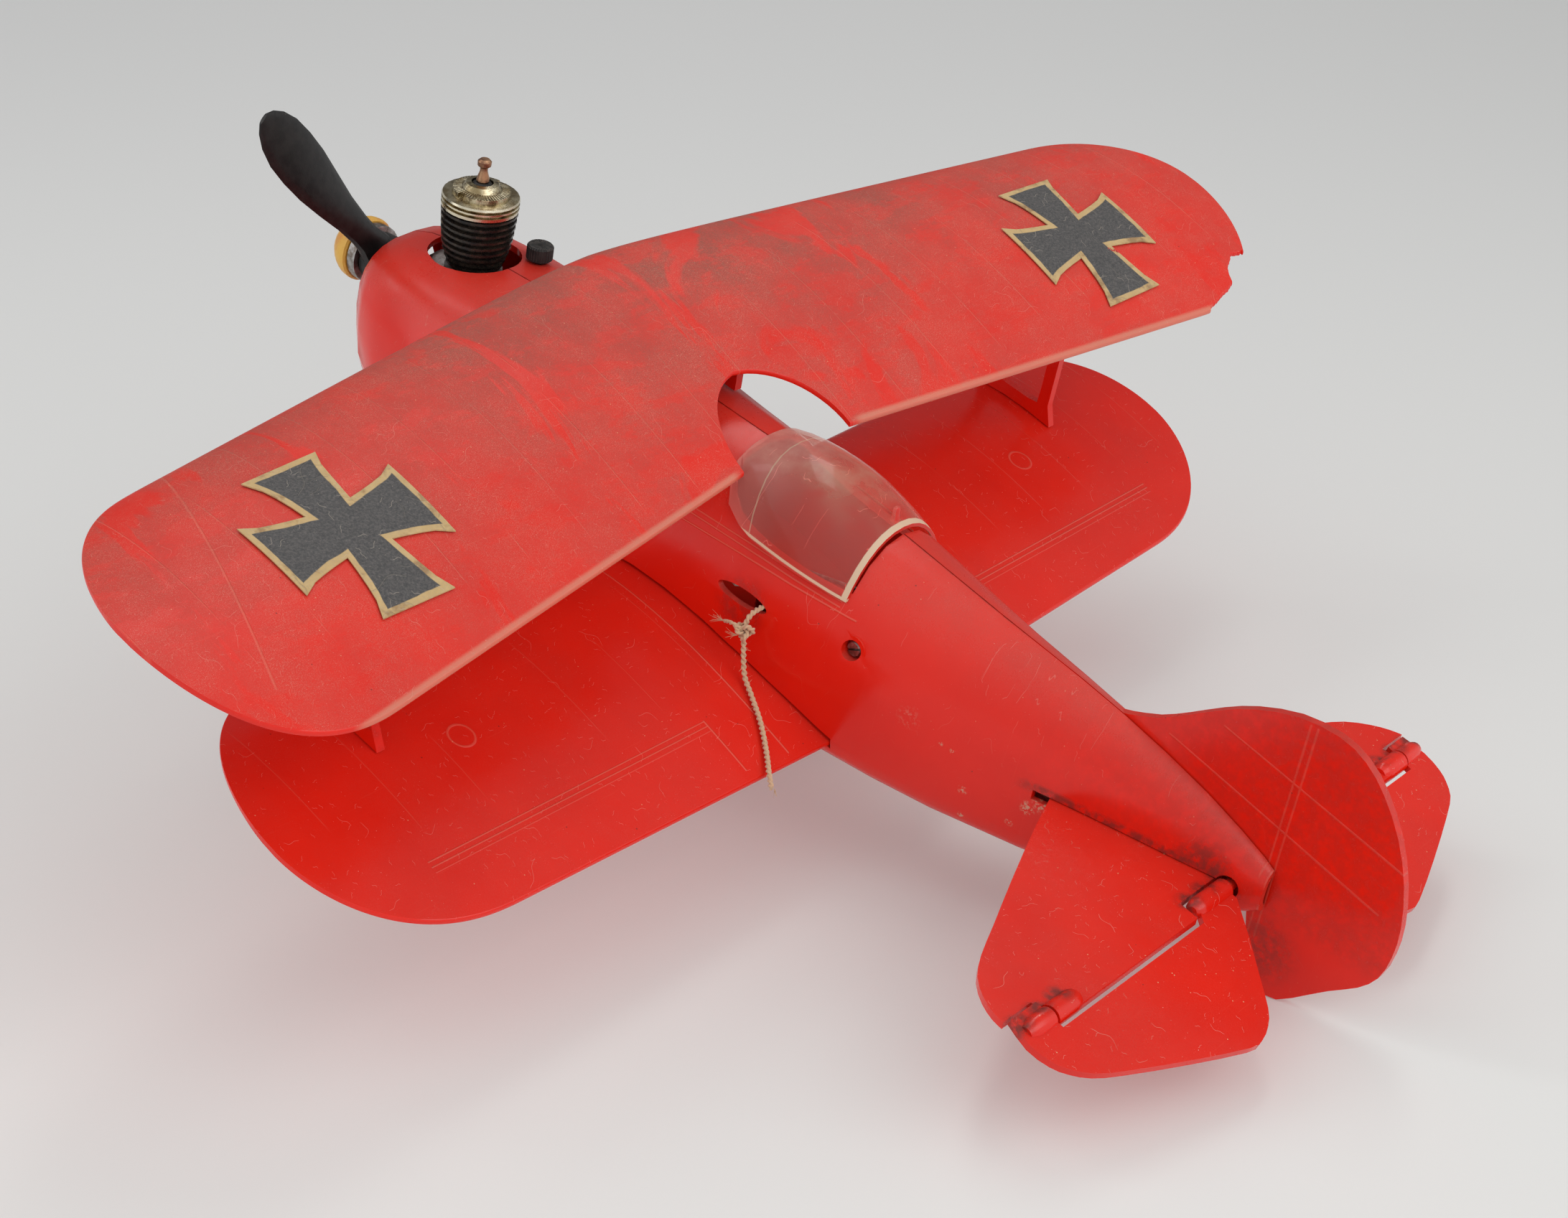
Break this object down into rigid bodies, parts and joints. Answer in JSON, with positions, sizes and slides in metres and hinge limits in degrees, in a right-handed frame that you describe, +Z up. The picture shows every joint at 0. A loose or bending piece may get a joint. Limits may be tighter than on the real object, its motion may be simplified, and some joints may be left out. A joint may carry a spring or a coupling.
{
  "type": "control-line model biplane",
  "caption": "Moulded biplane model with a glow engine, spinning propeller, hinged elevator worked by a bellcrank and pushrod, clear canopy, wire landing gear and a control-line twine",
  "frame": {"origin": "on the ground plane, under the middle of the bounding box, with the model standing on its wheels and the foot of its rudder", "axes": "+X to the port wing tip, +Y toward the tail, +Z up; the fuselage datum is pitched 11.7 degrees nose-up"},
  "size_m": [0.3718, 0.3209, 0.1636],
  "materials": {
    "red_plastic": "glossy moulded red plastic with dust and fine scratches",
    "clear_plastic": "clear moulding, slightly yellowed and hazed",
    "black_plastic": "satin black moulding",
    "yellow_plastic": "worn yellow paint on plastic",
    "steel": "plain turned or bent steel, slightly tarnished",
    "cast_alloy": "cast, sand-textured",
    "blackened_steel": "machined and blackened",
    "gilt_alloy": "turned and gilt, heat-stained",
    "copper": "tarnished copper tone",
    "black_rubber": "knurled, dull black",
    "white_nylon": "natural nylon",
    "printed_paper": "printed sticker, black with a faded tan border",
    "twine_fibre": "twisted fibre twine"
  },
  "bodies": {
    "airframe": {"fuselage_port": "red_plastic", "fuselage_starboard": "red_plastic", "upper_wing": "red_plastic", "lower_wing": "red_plastic", "interplane_strut_port": "red_plastic", "interplane_strut_starboard": "red_plastic", "cabane_strut_port": "red_plastic", "cabane_strut_starboard": "red_plastic", "stabilizer": "red_plastic", "engine_bulkhead": "red_plastic", "canopy": "clear_plastic", "glow_insulator": "black_plastic", "fuselage_screw": "steel", "engine_screw_port": "steel", "engine_screw_starboard": "steel", "fuel_tank": "steel", "bellcrank_pivot": "steel", "landing_gear_wire": "steel", "wheel_retainer_port": "steel", "wheel_retainer_starboard": "steel", "crankcase": "cast_alloy", "cylinder": "blackened_steel", "glow_head": "gilt_alloy", "glow_post": "copper", "insignia_port": "printed_paper", "insignia_starboard": "printed_paper", "twine": "twine_fibre", "twine_knot": "twine_fibre"},
    "propeller_group": {"propeller": "black_plastic", "spinner": "yellow_plastic", "prop_collar": "steel", "crankshaft": "steel"},
    "piston": {"piston": "steel"},
    "connecting_rod": {"connecting_rod": "steel"},
    "needle_valve": {"needle_valve": "black_rubber"},
    "elevator": {"elevator": "red_plastic"},
    "pushrod": {"pushrod": "steel"},
    "bellcrank": {"bellcrank": "white_nylon"},
    "wheel_port": {"wheel_port": "black_plastic"},
    "wheel_starboard": {"wheel_starboard": "black_plastic"}
  },
  "joints": [
    {"name": "propeller_spin", "type": "hinge", "parent": "airframe", "child": "propeller_group", "pos_m": [0, -0.14164, 0.1127], "axis": [0, 0.9792, -0.2028], "continuous": true},
    {"name": "piston_slide", "type": "slide", "parent": "airframe", "child": "piston", "axis": [0, 0.2028, 0.9792], "range_m": [-0.0041, 0.0056]},
    {"name": "rod_swing", "type": "hinge", "parent": "piston", "child": "connecting_rod", "pos_m": [0, -0.11152, 0.12202], "axis": [0, 0.9792, -0.2028], "range_deg": [0, 35.6]},
    {"name": "needle_turn", "type": "hinge", "parent": "airframe", "child": "needle_valve", "pos_m": [-0.0106, -0.09942, 0.11979], "axis": [0, 0.2028, 0.9792], "range_deg": [-720, 720]},
    {"name": "elevator_hinge", "type": "hinge", "parent": "airframe", "child": "elevator", "pos_m": [0, 0.12042, 0.02646], "axis": [1, 0, 0], "range_deg": [-11, 34]},
    {"name": "pushrod_slide", "type": "slide", "parent": "airframe", "child": "pushrod", "axis": [0, 0.9792, -0.2028], "range_m": [-0.0027, 0.0009]},
    {"name": "bellcrank_pivot", "type": "hinge", "parent": "airframe", "child": "bellcrank", "pos_m": [0.011, -0.0033, 0.06618], "axis": [0, 0.2028, 0.9792], "range_deg": [-6.4, 19.7]},
    {"name": "wheel_port_spin", "type": "hinge", "parent": "airframe", "child": "wheel_port", "pos_m": [0.046, -0.1054, 0.01697], "axis": [1, 0, 0], "continuous": true},
    {"name": "wheel_starboard_spin", "type": "hinge", "parent": "airframe", "child": "wheel_starboard", "pos_m": [-0.046, -0.1054, 0.01697], "axis": [1, 0, 0], "continuous": true}
  ],
  "couplings": [
    {"joint": "pushrod_slide", "follows": "elevator_hinge", "m_per_rad": -0.0045},
    {"joint": "bellcrank_pivot", "follows": "elevator_hinge", "ratio": 0.577}
  ]
}
